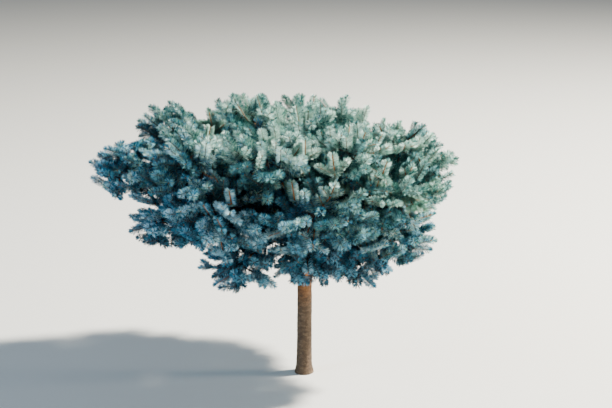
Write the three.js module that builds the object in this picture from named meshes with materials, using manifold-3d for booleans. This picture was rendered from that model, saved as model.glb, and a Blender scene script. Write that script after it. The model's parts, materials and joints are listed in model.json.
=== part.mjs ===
// A dwarf blue spruce grafted on a short clear stem: a low, wide dome of stiff blue sprays over a bare trunk.
// Millimetres, +Z up. The origin is the middle of the flat cut at ground level, and the front faces -Y.
// The trunk ends at its graft union. Main boughs leave the union all round, side boughs leave the main ones,
// and each bough ends at one mass of needles: a stem that forks by a seeded rule and carries sprays.

import * as THREE from "three";
import { mergeVertices } from "three/addons/utils/BufferGeometryUtils.js";
import Module from "manifold-3d";

// Clearance between pieces that meet, and between two masses.
const SEAT_GAP = 0.3;
const MASS_GAP = 3;
const SEAM_TOLERANCES = [1.6, 1.2, 0.8, 0.4];

// Trunk: a clear stem with a small root flare and a swollen graft union at its head.
const TRUNK = {
  height: 436,
  radius: 22,
  taper: 1.5,
  lean: 3,
  flare: 5.5,
  flareHeight: 24,
  flutes: 5,
  fluteDepth: 0.1,
  unionHeight: 402,
  unionSwell: 5.5,
  unionSpread: 20,
  domeHeight: 20,
  sides: 20,
};

// Crown: how far the needles reach from the trunk's line, seen from above.
const REACH = { right: 445, back: 455, left: 600, front: 470 };

// The masses stand in four tiers. A tier has a height, the share of the crown's reach that it fills, the
// half-size of a mass (outwards, across, up), and the rise in degrees at which a bough arrives. Each mass
// has a bearing in degrees from +X towards +Y, and how far it is pushed outwards and lifted from its tier.
const TIERS = [
  {
    name: "belt",
    height: 590,
    share: 1.0,
    size: [150, 180, 108],
    rise: 14,
    masses: [
      { bearing: 2, push: 4, lift: 32, scale: 0.96 },
      { bearing: 318, push: -6, lift: 6, scale: 0.96 },
      { bearing: 276, push: -5, lift: -12 },
      { bearing: 232, push: 4, lift: -14 },
      { bearing: 187, push: 6, lift: 36, scale: 0.74 },
      { bearing: 150, push: 0, lift: 10 },
      { bearing: 100, push: 0, lift: 0 },
      { bearing: 47, push: 0, lift: -26 },
    ],
  },
  {
    name: "crest",
    height: 728,
    share: 0.6,
    size: [126, 128, 88],
    rise: 66,
    masses: [
      { bearing: 196, push: -58, lift: 28 },
      { bearing: 32, push: -50, lift: 16, scale: 0.82 },
      { bearing: 141, push: 0, lift: -6 },
      { bearing: 274, push: -26, lift: 4 },
      { bearing: 93, push: 30, lift: -18 },
    ],
  },
  {
    name: "shoulder",
    height: 683,
    share: 0.92,
    size: [150, 175, 104],
    rise: 44,
    masses: [
      { bearing: 338, push: -14, lift: 20, scale: 0.76 },
      { bearing: 297, push: -20, lift: 2 },
      { bearing: 252, push: -10, lift: 4 },
      { bearing: 214, push: -5, lift: -8 },
      { bearing: 172, push: -66, lift: 52, scale: 0.6 },
      { bearing: 124, push: 0, lift: -10 },
      { bearing: 72, push: 0, lift: -40 },
    ],
  },
  {
    name: "skirt",
    height: 440,
    share: 0.8,
    size: [138, 136, 92],
    rise: -10,
    masses: [
      { bearing: 350, push: 36, lift: 2, scale: 0.86 },
      { bearing: 312, push: -2, lift: -26, scale: 0.9 },
      { bearing: 272, push: -10, lift: -4 },
      { bearing: 232, push: -8, lift: -28, scale: 0.86 },
      { bearing: 200, push: 48, lift: 60, scale: 0.82 },
      { bearing: 150, push: 0, lift: 20 },
      { bearing: 95, push: 0, lift: 0 },
      { bearing: 35, push: 0, lift: 0 },
    ],
  },
];

// Boughs: main ones leave the union in two staggered rings, leaders leave its top, and side boughs leave
// a main bough or a leader at a seat, given as a share of its length.
const BOUGH = {
  sides: 6,
  steps: 4,
  mainRadius: [10, 6],
  sideRadius: [6.4, 4.4],
  unevenness: 0.07,
  ringHeights: [388, 410],
  leaderSpread: 8,
  seats: { crest: 0.4, shoulder: 0.44, skirt: 0.24 },
  seatStep: 0.18,
  seatLean: 0.55,
  insideMass: 0.74,
};
const LEADERS = 2;

// Twigs and sprays of a mass. Sprays stand all round the stem's end, each on a twig of its own.
// A spray is a slim core that clumps of needles stand out of, swept forward.
const STEM = { sides: 6, radii: [5, 6.5, 5], spread: 56, inside: 0.75 };
const TWIG = { sides: 3, radius: 2.8, start: 1.5, straightest: 22 };
const SPRAY = {
  tries: 60,
  longest: 118,
  shortest: 52,
  share: 0.74,
  radius: 38,
  sizes: [1, 0.88, 0.76],
  coreShare: 0.3,
  spikes: 3,
  rings: [
    { core: 0.2, spike: 0.38, width: 0.92 },
    { core: 0.54, spike: 0.74, width: 0.84 },
  ],
  bareShare: 0.3,
  apart: 55,
};

const BARK = { color: 0x8b7a6b, roughness: 0.9, metalness: 0 };
const YOUNG_BARK = { color: 0x9a6a45, roughness: 0.85, metalness: 0 };
const NEEDLES = {
  crest: { color: 0xa9c0bd, roughness: 0.7, metalness: 0 },
  shoulder: { color: 0x8fb0b4, roughness: 0.7, metalness: 0 },
  belt: { color: 0x7b9fa9, roughness: 0.7, metalness: 0 },
  skirt: { color: 0x5f8796, roughness: 0.7, metalness: 0 },
};

const SEED = 800;
const UP = new THREE.Vector3(0, 0, 1);
const DEGREES = Math.PI / 180;

// A small seeded generator, so that the tree is the same each time.
function seeded(seed) {
  let state = seed >>> 0;
  return () => {
    state = (state + 0x6d2b79f5) >>> 0;
    let t = Math.imul(state ^ (state >>> 15), state | 1);
    t ^= t + Math.imul(t ^ (t >>> 7), t | 61);
    return ((t ^ (t >>> 14)) >>> 0) / 4294967296;
  };
}

function heading(bearing, rise) {
  const flat = Math.cos(rise * DEGREES);
  return new THREE.Vector3(
    Math.cos(bearing * DEGREES) * flat,
    Math.sin(bearing * DEGREES) * flat,
    Math.sin(rise * DEGREES),
  );
}

function along(point, direction, distance) {
  return point.clone().addScaledVector(direction, distance);
}

// Closed skin over rings of points. The rings are equally long, but an end may be a single point.
function skin(rings) {
  const position = [];
  const starts = [];
  for (const ring of rings) {
    starts.push(position.length / 3);
    for (const p of ring) position.push(p.x, p.y, p.z);
  }
  const index = [];
  for (let i = 0; i + 1 < rings.length; i++) {
    const n = Math.max(rings[i].length, rings[i + 1].length);
    for (let j = 0; j < n; j++) {
      const k = (j + 1) % n;
      const [a, b] = rings[i].length === 1 ? [0, 0] : [j, k];
      const [c, d] = rings[i + 1].length === 1 ? [0, 0] : [j, k];
      const low = [starts[i] + a, starts[i] + b];
      const high = [starts[i + 1] + c, starts[i + 1] + d];
      if (rings[i].length === 1) index.push(low[0], high[1], high[0]);
      else if (rings[i + 1].length === 1) index.push(low[0], low[1], high[0]);
      else if ((i + j) % 2) index.push(low[0], low[1], high[1], low[0], high[1], high[0]);
      else index.push(low[0], low[1], high[0], low[1], high[1], high[0]);
    }
  }
  const last = rings.length - 1;
  for (let j = 1; j + 1 < rings[0].length; j++) index.push(starts[0], starts[0] + j + 1, starts[0] + j);
  for (let j = 1; j + 1 < rings[last].length; j++)
    index.push(starts[last], starts[last] + j, starts[last] + j + 1);
  return new THREE.BufferGeometry()
    .setAttribute("position", new THREE.Float32BufferAttribute(position, 3))
    .setIndex(index);
}

// Two directions square to a third, turned on smoothly from the frame before it where there is one.
function frameOf(direction, before) {
  const guide = before ? before.across : Math.abs(direction.z) > 0.9 ? new THREE.Vector3(1, 0, 0) : UP;
  const across = guide.clone().addScaledVector(direction, -guide.dot(direction)).normalize();
  return { across, over: new THREE.Vector3().crossVectors(direction, across) };
}

function ringAt(centre, frame, radii) {
  return radii.map((radius, j) => {
    const turn = (2 * Math.PI * j) / radii.length;
    return centre
      .clone()
      .addScaledVector(frame.across, radius * Math.cos(turn))
      .addScaledVector(frame.over, radius * Math.sin(turn));
  });
}

const wasm = await Module();
wasm.setup();

function solid(geometry) {
  const merged = mergeVertices(geometry, 1e-3);
  const corners = merged.index.array;
  const kept = [];
  for (let i = 0; i < corners.length; i += 3) {
    const [a, b, c] = corners.subarray(i, i + 3);
    if (a !== b && b !== c && c !== a) kept.push(a, b, c);
  }
  return new wasm.Manifold(
    new wasm.Mesh({
      numProp: 3,
      vertProperties: new Float32Array(merged.attributes.position.array),
      triVerts: new Uint32Array(kept),
    }),
  );
}

function largestOf(body) {
  return body.decompose().reduce((most, piece) => (piece.volume() > most.volume() ? piece : most));
}

// Whether each edge belongs to two faces and no more, once points in one place are taken as one.
function isPlain(body) {
  const { vertProperties, triVerts } = body.getMesh();
  const keys = Array.from({ length: vertProperties.length / 3 }, (_, i) =>
    Array.from(vertProperties.subarray(3 * i, 3 * i + 3), (x) => x.toFixed(4)).join(" "),
  );
  const faces = new Map();
  triVerts.forEach((a, i) => {
    const b = triVerts[i % 3 === 2 ? i - 2 : i + 1];
    const edge = [keys[a], keys[b]].sort().join("/");
    faces.set(edge, (faces.get(edge) ?? 0) + 1);
  });
  return [...faces.values()].every((count) => count === 2);
}

// Joins bodies into one and leaves out the slightest edges of the seams, as far as the skin stays plain.
function fused(bodies) {
  const whole = wasm.Manifold.union(bodies);
  const candidates = SEAM_TOLERANCES.map((tolerance) => largestOf(whole.simplify(tolerance)));
  return candidates.find(isPlain) ?? largestOf(whole);
}

// A solid as a named mesh that stands at its own root point.
function placed(name, body, root, look) {
  const mesh = body.getMesh();
  const geometry = new THREE.BufferGeometry()
    .setAttribute("position", new THREE.Float32BufferAttribute(mesh.vertProperties, mesh.numProp))
    .setIndex(new THREE.BufferAttribute(mesh.triVerts, 1))
    .translate(-root.x, -root.y, -root.z);
  geometry.computeVertexNormals();
  const made = new THREE.Mesh(geometry, new THREE.MeshStandardMaterial(look));
  made.name = name;
  made.position.copy(root);
  return made;
}

// Trunk
function trunkCentre(z) {
  return new THREE.Vector3((TRUNK.lean * z) / TRUNK.height, 0, z);
}

function trunkRadius(z, turn) {
  const flare = TRUNK.flare * Math.exp(-z / TRUNK.flareHeight);
  const flutes = 1 + TRUNK.fluteDepth * Math.exp(-z / TRUNK.flareHeight) * Math.cos(TRUNK.flutes * turn);
  const swell = TRUNK.unionSwell * Math.exp(-(((z - TRUNK.unionHeight) / TRUNK.unionSpread) ** 2));
  const dome = Math.max(0, (z - TRUNK.height + TRUNK.domeHeight) / TRUNK.domeHeight);
  const body = TRUNK.radius - (TRUNK.taper * z) / TRUNK.height + flare + swell;
  return body * flutes * Math.sqrt(Math.max(0.04, 1 - dome * dome));
}

function trunk(growth = 0) {
  const heights = [0, 8, 24, 60, 372, 388, 402, 416, 426, 433, 436];
  const turns = Array.from({ length: TRUNK.sides }, (_, j) => (2 * Math.PI * j) / TRUNK.sides);
  const level = { across: new THREE.Vector3(1, 0, 0), over: new THREE.Vector3(0, 1, 0) };
  return skin(
    heights.map((z) =>
      ringAt(
        trunkCentre(z + (z === TRUNK.height ? growth : 0)),
        level,
        turns.map((turn) => trunkRadius(z, turn) + growth),
      ),
    ),
  );
}

// One tapering limb along a curve, cut flat at both ends.
function limb(curve, radii, seed, growth = 0) {
  const random = seeded(seed);
  let frame = null;
  const rings = [];
  for (let i = 0; i <= BOUGH.steps; i++) {
    const share = i / BOUGH.steps;
    frame = frameOf(curve.getTangent(share), frame);
    const plain = THREE.MathUtils.lerp(radii[0], radii[1], share);
    const radius = plain * (1 + BOUGH.unevenness * (random() - 0.5)) + growth;
    rings.push(ringAt(curve.getPoint(share), frame, Array(BOUGH.sides).fill(radius)));
  }
  return skin(rings);
}

// Masses
function crownReach(bearing) {
  const c = Math.cos(bearing * DEGREES);
  const s = Math.sin(bearing * DEGREES);
  const outwards = c > 0 ? REACH.right : REACH.left;
  const inwards = s > 0 ? REACH.back : REACH.front;
  return 1 / Math.hypot(c / outwards, s / inwards);
}

const masses = TIERS.flatMap((tier) =>
  tier.masses.map(({ bearing, push, lift, scale = 1 }, i) => {
    const size = tier.size.map((half) => half * scale);
    const distance = crownReach(bearing) * tier.share - size[0] + push;
    const outwards = heading(bearing, 0);
    return {
      name: `${tier.name}_needles_${i + 1}`,
      bough: `${tier.name}_bough_${i + 1}`,
      tier: tier.name,
      bearing,
      aim: heading(bearing, tier.rise),
      centre: along(along(new THREE.Vector3(), outwards, distance), UP, tier.height + lift),
      axes: [outwards, heading(bearing + 90, 0), UP],
      size,
    };
  }),
);

// Distance from the middle of a mass to its rounded outline.
function outlineAt(mass, direction) {
  return 1 / Math.hypot(...mass.axes.map((axis, i) => axis.dot(direction) / mass.size[i]));
}

// A mass keeps to its own side of a plane between it and each of the others.
for (const mass of masses) {
  mass.walls = masses
    .filter((other) => other !== mass)
    .map((other) => {
      const normal = other.centre.clone().sub(mass.centre);
      const apart = normal.length();
      normal.normalize();
      const own = outlineAt(mass, normal);
      const theirs = outlineAt(other, normal);
      const limit = mass.centre.dot(normal) + (apart * own) / (own + theirs) - MASS_GAP / 2;
      return { normal, limit };
    });
}

function keepsToSpace(mass, points) {
  return points.every((p) => mass.walls.every(({ normal, limit }) => p.dot(normal) <= limit));
}

// How far a line can run from a point before it leaves the mass's outline or its walls.
function roomAhead(mass, point, direction) {
  const offset = point.clone().sub(mass.centre);
  const scaled = (v) => mass.axes.map((axis, i) => axis.dot(v) / mass.size[i]);
  const [o, d] = [scaled(offset), scaled(direction)];
  const dot = (p, q) => p[0] * q[0] + p[1] * q[1] + p[2] * q[2];
  const [a, b, c] = [dot(d, d), dot(o, d), dot(o, o) - 1];
  const inside = b * b - a * c;
  let room = inside > 0 ? (-b + Math.sqrt(inside)) / a : 0;
  for (const { normal, limit } of mass.walls) {
    const speed = direction.dot(normal);
    if (speed > 0) room = Math.min(room, (limit - point.dot(normal)) / speed);
  }
  return Math.max(0, room);
}

// A bough arrives at a mass along its aim, and ends a little inside the mass's outline.
for (const mass of masses) {
  const back = mass.aim.clone().negate();
  const room = Math.min(outlineAt(mass, back), roomAhead(mass, mass.centre, back));
  mass.tip = along(mass.centre, back, BOUGH.insideMass * room);
  mass.stem = along(mass.tip, mass.aim, SEAT_GAP);
}

// Boughs
function between(root, leave, tip, arrive) {
  const third = root.distanceTo(tip) / 3;
  return new THREE.CubicBezierCurve3(root, along(root, leave, third), along(tip, arrive, -third), tip);
}

function turnApart(a, b) {
  return Math.abs(((a - b + 540) % 360) - 180);
}

const boughs = [];

function mainBough(mass, root, leave) {
  boughs.push({
    mass,
    name: mass.bough,
    curve: between(root, leave, mass.tip, mass.aim),
    radii: BOUGH.mainRadius,
    parent: null,
  });
}

function sideBough(mass, parents) {
  const apart = (bough) => turnApart(bough.mass.bearing, mass.bearing);
  const parent = parents.reduce((best, bough) => (apart(bough) < apart(best) ? bough : best));
  const isSister = (bough) => bough.parent === parent && bough.mass.tier === mass.tier;
  const sisters = boughs.filter(isSister).length;
  const seat = BOUGH.seats[mass.tier] + BOUGH.seatStep * sisters;
  const root = parent.curve.getPoint(seat);
  const towards = mass.tip.clone().sub(root).normalize();
  const leave = parent.curve.getTangent(seat).multiplyScalar(BOUGH.seatLean).add(towards).normalize();
  boughs.push({
    mass,
    name: mass.bough,
    curve: between(root, leave, mass.tip, mass.aim),
    radii: BOUGH.sideRadius,
    parent,
  });
}

const ofTier = (name) => masses.filter((mass) => mass.tier === name);
ofTier("belt").forEach((mass, i) =>
  mainBough(mass, trunkCentre(BOUGH.ringHeights[i % 2]), heading(mass.bearing, 12)),
);
const spreading = [...boughs];
for (const mass of ofTier("crest").slice(0, LEADERS)) {
  const top = trunkCentre(TRUNK.height - TRUNK.domeHeight);
  mainBough(mass, along(top, heading(mass.bearing, 0), BOUGH.leaderSpread), heading(mass.bearing, 80));
}
const leaders = boughs.slice(spreading.length);
for (const mass of ofTier("crest").slice(LEADERS)) sideBough(mass, leaders);
for (const mass of [...ofTier("shoulder"), ...ofTier("skirt")]) sideBough(mass, spreading);

// A bough is cut off flush where it meets the trunk or a bough made before it, a seat's clearance away.
const trunkSolid = solid(trunk());
const seats = [solid(trunk(SEAT_GAP))];
boughs.forEach(({ curve, radii }, i) => {
  const whole = solid(limb(curve, radii, i));
  boughs[i].body = largestOf(whole.subtract(wasm.Manifold.union(seats)));
  seats.push(solid(limb(curve, radii, i, SEAT_GAP)));
});
const limbs = wasm.Manifold.union([trunkSolid, ...boughs.map((bough) => bough.body)]);

// Twigs and sprays
function twigRing(centre, direction, radius) {
  const ring = ringAt(centre, frameOf(direction, null), Array(TWIG.sides).fill(radius));
  return ring.flatMap((p) => [p, p]);
}

function needleRings({ base, direction, length, radius, turn }) {
  const frame = frameOf(direction, null);
  const rings = SPRAY.rings.map(({ core, spike, width }, i) =>
    Array.from({ length: 2 * SPRAY.spikes }, (_, j) => {
      const out = (j + i) % 2 === 0;
      const angle = turn + (Math.PI * j) / SPRAY.spikes;
      const r = radius * (out ? width : SPRAY.coreShare);
      return along(base, direction, length * (out ? spike : core))
        .addScaledVector(frame.across, r * Math.cos(angle))
        .addScaledVector(frame.over, r * Math.sin(angle));
    }),
  );
  return [...rings, [along(base, direction, length)]];
}

// Least distance between two straight lines of given ends.
function lineGap([a, b], [c, d]) {
  const u = b.clone().sub(a);
  const v = d.clone().sub(c);
  const w = a.clone().sub(c);
  const [uu, uv, vv, uw, vw] = [u.dot(u), u.dot(v), v.dot(v), u.dot(w), v.dot(w)];
  const clamp = (x) => Math.min(1, Math.max(0, x));
  let s = clamp((uv * vw - vv * uw) / Math.max(uu * vv - uv * uv, 1e-9));
  const t = clamp((uv * s + vw) / vv);
  s = clamp((uv * t - uw) / uu);
  return along(a, u, s).distanceTo(along(c, v, t));
}

const limbLines = [
  { ends: [trunkCentre(0), trunkCentre(TRUNK.height)], radius: trunkRadius(TRUNK.unionHeight, 0) },
  ...boughs.flatMap(({ curve, radii }) =>
    Array.from({ length: BOUGH.steps }, (_, i) => ({
      ends: [curve.getPoint(i / BOUGH.steps), curve.getPoint((i + 1) / BOUGH.steps)],
      radius: radii[0],
    })),
  ),
];

function clearOfLimbs(ends, radius) {
  return limbLines.every((limb) => lineGap(ends, limb.ends) > limb.radius + radius + 1);
}

// Directions spread evenly over a ball, as seeds are in a head.
function spread(i, count, phase, frame, axis) {
  const rise = 1 - (2 * (i + 0.5)) / count;
  const turn = phase + i * Math.PI * (3 - Math.sqrt(5));
  const out = Math.sqrt(1 - rise * rise);
  return axis
    .clone()
    .multiplyScalar(rise)
    .addScaledVector(frame.across, out * Math.cos(turn))
    .addScaledVector(frame.over, out * Math.sin(turn));
}

// Grows one mass. Sprays take the directions with most room first, and keep a distance from each other.
function grow(mass, random) {
  const phase = random() * 2 * Math.PI;
  const frame = frameOf(mass.aim, null);
  const rays = Array.from({ length: SPRAY.tries }, (_, i) => {
    const ray = spread(i, SPRAY.tries, phase, frame, mass.aim);
    return { ray, room: roomAhead(mass, mass.centre, ray) };
  }).sort((a, b) => b.room - a.room);
  const spreadOut = Math.min(STEM.spread, STEM.inside * roomAhead(mass, mass.centre, mass.aim));
  const stops = [-0.4, 1].map((share) => along(mass.centre, mass.aim, share * spreadOut));
  stops.unshift(mass.stem);
  const stem = stops.map((stop, i) => ringAt(stop, frame, Array(STEM.sides).fill(STEM.radii[i])));
  const bodies = [solid(skin(stem))];
  const found = [];
  for (const { ray, room } of rays) {
    const turn = random() * Math.PI;
    const tip = along(mass.centre, ray, room * 0.985);
    const fork = along(mass.centre, mass.aim, spreadOut * ray.dot(mass.aim));
    const direction = tip.clone().sub(fork).normalize();
    const distance = tip.distanceTo(fork);
    for (const size of SPRAY.sizes) {
      const length = Math.min(SPRAY.longest, distance * SPRAY.share) * size;
      if (length < SPRAY.shortest) break;
      const base = along(tip, direction, -length);
      const radius = SPRAY.radius * Math.min(size, Math.sqrt(length / SPRAY.longest) + 0.1);
      const candidate = { base, direction, length, radius, turn };
      const needled = [along(base, direction, length * SPRAY.bareShare), tip];
      const needles = needleRings(candidate);
      if (!keepsToSpace(mass, needles.flat())) continue;
      if (!clearOfLimbs(needled, radius * 0.8)) continue;
      if (!clearOfLimbs([along(fork, direction, TWIG.start), needled[0]], 2 * TWIG.radius)) continue;
      if (found.some((other) => lineGap(needled, other) < SPRAY.apart)) continue;
      const rings = [twigRing(along(fork, direction, TWIG.start), direction, TWIG.radius)];
      if (distance - length > TWIG.straightest) rings.push(twigRing(base, direction, TWIG.radius));
      rings.push(...needles);
      bodies.push(solid(skin(rings)));
      found.push(needled);
      break;
    }
  }
  return fused(bodies);
}

const tree = new THREE.Group();
tree.add(placed("trunk", trunkSolid, new THREE.Vector3(), BARK));
for (const bough of boughs) tree.add(placed(bough.name, bough.body, bough.curve.v0, YOUNG_BARK));
masses.forEach((mass, i) => {
  tree.add(placed(mass.name, grow(mass, seeded(SEED + i)), mass.stem, NEEDLES[mass.tier]));
});

export default tree;
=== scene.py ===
"""A dwarf blue spruce grafted on a short clear stem: the finish of its bark, twigs and needles.

Metres, +Z up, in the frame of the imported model. The growing rule is the one that placed the solids. It is
worked in millimetres, as they are, and is carried on from each spray to its shoots, needles and buds.
"""

import json
import math

import bpy
import numpy as np
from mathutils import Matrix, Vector

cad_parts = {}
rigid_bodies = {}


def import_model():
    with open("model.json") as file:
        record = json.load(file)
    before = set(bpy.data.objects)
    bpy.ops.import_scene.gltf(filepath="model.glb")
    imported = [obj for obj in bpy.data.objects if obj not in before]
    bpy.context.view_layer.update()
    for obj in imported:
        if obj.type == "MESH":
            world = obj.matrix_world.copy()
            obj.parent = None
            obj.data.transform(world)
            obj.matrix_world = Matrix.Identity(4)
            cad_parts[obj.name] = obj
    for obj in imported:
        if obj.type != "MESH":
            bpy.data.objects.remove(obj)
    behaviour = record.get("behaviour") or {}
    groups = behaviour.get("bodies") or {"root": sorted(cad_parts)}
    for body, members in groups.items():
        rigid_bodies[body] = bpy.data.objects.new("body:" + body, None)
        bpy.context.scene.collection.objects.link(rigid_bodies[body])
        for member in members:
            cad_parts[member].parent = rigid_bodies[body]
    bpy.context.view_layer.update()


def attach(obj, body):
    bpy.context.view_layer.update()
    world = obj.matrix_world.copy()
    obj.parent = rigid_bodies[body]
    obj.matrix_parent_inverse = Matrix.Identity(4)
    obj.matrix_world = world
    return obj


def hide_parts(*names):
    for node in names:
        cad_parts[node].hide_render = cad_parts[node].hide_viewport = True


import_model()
bpy.ops.object.select_all(action="DESELECT")


# Camera. It stands at eye height with a long lens and looks down on the low crown.
CAMERA_PLACE = (0.0057, -3.284, 1.393)
CAMERA_TILT = 75
CAMERA_LENS = 70.2
FILM_WIDTH = 36
bpy.ops.object.camera_add(location=CAMERA_PLACE, rotation=(math.radians(CAMERA_TILT), 0, 0))
camera = bpy.context.object
camera.name = "camera"
camera.data.lens = CAMERA_LENS
camera.data.sensor_width = FILM_WIDTH
bpy.context.scene.camera = camera


# Trunk. A nursery-grown spruce stem with thin scaly grey-brown bark. It spreads into five low root flutes at
# the ground, tapers a little, and swells where the dwarf crown was grafted on. It is drawn up ring by ring.
MM = 0.001
TRUNK_HEIGHT = 436
TRUNK_RADIUS = 22
TRUNK_TAPER = 1.5
TRUNK_LEAN = 3
FLARE = 4.4
FLARE_HEIGHT = 24
FLUTES = 5
FLUTE_REACH = 2.4
FLUTE_COSINE = 0.985
FLUTE_FOOT = 6
FLUTE_SPREAD = 24
UNION_HEIGHT = 402
UNION_SWELL = 5.5
UNION_SPREAD = 20
DOME_HEIGHT = 20
DOME_LEAST = 0.04
TRUNK_SIDES = 80
TRUNK_STEP = 4
BARK_CREASE = math.radians(40)
GROUND_CUT = 0.0002


def trunk_centre(height):
    return np.array([TRUNK_LEAN * height / TRUNK_HEIGHT, 0.0, height])


def trunk_radius(height):
    flare = FLARE * math.exp(-height / FLARE_HEIGHT)
    swell = UNION_SWELL * math.exp(-(((height - UNION_HEIGHT) / UNION_SPREAD) ** 2))
    dome = max(0.0, (height - TRUNK_HEIGHT + DOME_HEIGHT) / DOME_HEIGHT)
    body = TRUNK_RADIUS - TRUNK_TAPER * height / TRUNK_HEIGHT + flare + swell
    return body * math.sqrt(max(DOME_LEAST, 1 - dome * dome))


bpy.ops.mesh.primitive_circle_add(vertices=TRUNK_SIDES, radius=trunk_radius(0) * MM, fill_type="NGON")
trunk = bpy.context.object
trunk.name = "trunk_wood"
bpy.ops.object.mode_set(mode="EDIT")
below = 0
for height in range(TRUNK_STEP, TRUNK_HEIGHT + 1, TRUNK_STEP):
    rise = (trunk_centre(height) - trunk_centre(below)) * MM
    share = trunk_radius(height) / trunk_radius(below)
    bpy.ops.mesh.extrude_region_move(TRANSFORM_OT_translate={"value": tuple(rise)})
    bpy.ops.transform.resize(value=(share, share, 1), center_override=tuple(trunk_centre(height) * MM))
    below = height
bpy.ops.mesh.select_all(action="SELECT")
bpy.ops.mesh.normals_make_consistent(inside=False)
for flute in range(FLUTES):
    turn = 2 * math.pi * flute / FLUTES
    flute_way = np.array([math.cos(turn), math.sin(turn), 0.0])
    bpy.ops.mesh.select_all(action="DESELECT")
    bpy.ops.object.mode_set(mode="OBJECT")
    for vertex in trunk.data.vertices:
        flat = np.array([vertex.co.x, vertex.co.y, 0.0])
        near = flat @ flute_way > FLUTE_COSINE * np.linalg.norm(flat)
        vertex.select = bool(near and vertex.co.z < FLUTE_FOOT * MM)
    bpy.ops.object.mode_set(mode="EDIT")
    bpy.ops.transform.translate(
        value=tuple(flute_way * FLUTE_REACH * MM),
        use_proportional_edit=True,
        proportional_edit_falloff="SMOOTH",
        proportional_size=FLUTE_SPREAD * MM,
    )
bpy.ops.object.mode_set(mode="OBJECT")


def relief(piece, kind, middle, size, stretch, depth, **settings):
    """Raises or sinks a bark pattern, drawn out along the stem, and keeps it in the mesh."""
    pattern = bpy.data.textures.new(f"{piece.name}_{size}", kind)
    pattern.noise_scale = size * MM
    for name, value in settings.items():
        setattr(pattern, name, value)
    bpy.ops.object.empty_add()
    ruler = bpy.context.object
    ruler.scale = (1, 1, stretch)
    bpy.context.view_layer.update()
    bpy.ops.object.select_all(action="DESELECT")
    piece.select_set(True)
    bpy.context.view_layer.objects.active = piece
    pressed = piece.modifiers.new("relief", "DISPLACE")
    pressed.texture = pattern
    pressed.texture_coords = "OBJECT"
    pressed.texture_coords_object = ruler
    pressed.strength = depth * MM
    pressed.mid_level = middle
    bpy.ops.object.modifier_apply(modifier=pressed.name)
    bpy.data.objects.remove(ruler)


def scales(piece, size, stretch, depth):
    """Thin rounded bark scales, with sunk edges."""
    relief(piece, "VORONOI", 0.35, size, stretch, -depth, distance_metric="DISTANCE_SQUARED")


def finer(piece):
    """Splits each face of a piece in four, without rounding it."""
    bpy.context.view_layer.objects.active = piece
    split = piece.modifiers.new("finer", "SUBSURF")
    split.subdivision_type = "SIMPLE"
    split.levels = split.render_levels = 1
    bpy.ops.object.modifier_apply(modifier=split.name)


finer(trunk)
relief(trunk, "CLOUDS", middle=0.5, size=18, stretch=2.4, depth=1.8)
scales(trunk, size=6, stretch=1.2, depth=1.0)
relief(trunk, "CLOUDS", middle=0.5, size=2.6, stretch=0.6, depth=0.9)
bpy.ops.object.mode_set(mode="EDIT")
bpy.ops.mesh.select_all(action="SELECT")
bpy.ops.mesh.bisect(
    plane_co=(0, 0, GROUND_CUT), plane_no=(0, 0, 1), clear_inner=True, use_fill=True, threshold=1e-6
)
bpy.ops.transform.translate(value=(0, 0, -GROUND_CUT))
bpy.ops.object.mode_set(mode="OBJECT")
bpy.ops.object.shade_smooth_by_angle(angle=BARK_CREASE)


class Amount:
    """A value in a finish. It takes part in arithmetic as a number does."""

    def __init__(self, finish, socket):
        self.finish = finish
        self.socket = socket

    def maths(self, operation, first, second):
        return self.finish.node("ShaderNodeMath", {"operation": operation}, {0: first, 1: second})

    def __add__(self, other):
        return self.maths("ADD", self, other)

    def __radd__(self, other):
        return self.maths("ADD", other, self)

    def __sub__(self, other):
        return self.maths("SUBTRACT", self, other)

    def __rsub__(self, other):
        return self.maths("SUBTRACT", other, self)

    def __mul__(self, other):
        return self.maths("MULTIPLY", self, other)

    def __rmul__(self, other):
        return self.maths("MULTIPLY", other, self)


class Finish:
    """A material under way: one Principled shader and the nodes that feed it."""

    def __init__(self, name):
        self.material = bpy.data.materials.new(name)
        self.material.use_nodes = True
        self.nodes = self.material.node_tree.nodes
        self.shader = self.nodes["Principled BSDF"]

    def node(self, kind, settings, sockets, output=0):
        made = self.nodes.new(kind)
        for name, value in settings.items():
            if name == "stops":
                self.set_stops(made.color_ramp, value)
            else:
                setattr(made, name, value)
        for name, value in sockets.items():
            self.feed(made.inputs[name], value)
        return Amount(self, made.outputs[output])

    def set_stops(self, ramp, stops):
        while len(ramp.elements) < len(stops):
            ramp.elements.new(1.0)
        for element, (place, colour) in zip(ramp.elements, stops):
            element.position = place
            element.color = colour

    def feed(self, socket, value):
        if isinstance(value, Amount):
            self.material.node_tree.links.new(value.socket, socket)
        else:
            socket.default_value = value

    def mixed(self, factor, first, second):
        settings = {"data_type": "RGBA"}
        return self.node("ShaderNodeMix", settings, {0: factor, 6: first, 7: second}, output=2)

    def noise(self, place, scale, detail, roughness):
        sockets = {"Vector": place, "Scale": scale, "Detail": detail, "Roughness": roughness}
        return self.node("ShaderNodeTexNoise", {}, sockets)

    def surface(self, **sockets):
        for name, value in sockets.items():
            self.feed(self.shader.inputs[name.replace("_", " ")], value)


def paint(text):
    """A colour of six hexadecimal digits as the linear values that a shader takes."""
    parts = [int(text[i : i + 2], 16) / 255 for i in (0, 2, 4)]
    linear = [c / 12.92 if c <= 0.04045 else ((c + 0.055) / 1.055) ** 2.4 for c in parts]
    return (*linear, 1.0)


BARK_STOPS = (0.34, 0.5, 0.66)
SEAM_WIDTH = 0.16
FRESH_EDGE = 0.16
FRESH_MOST = 0.85


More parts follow.
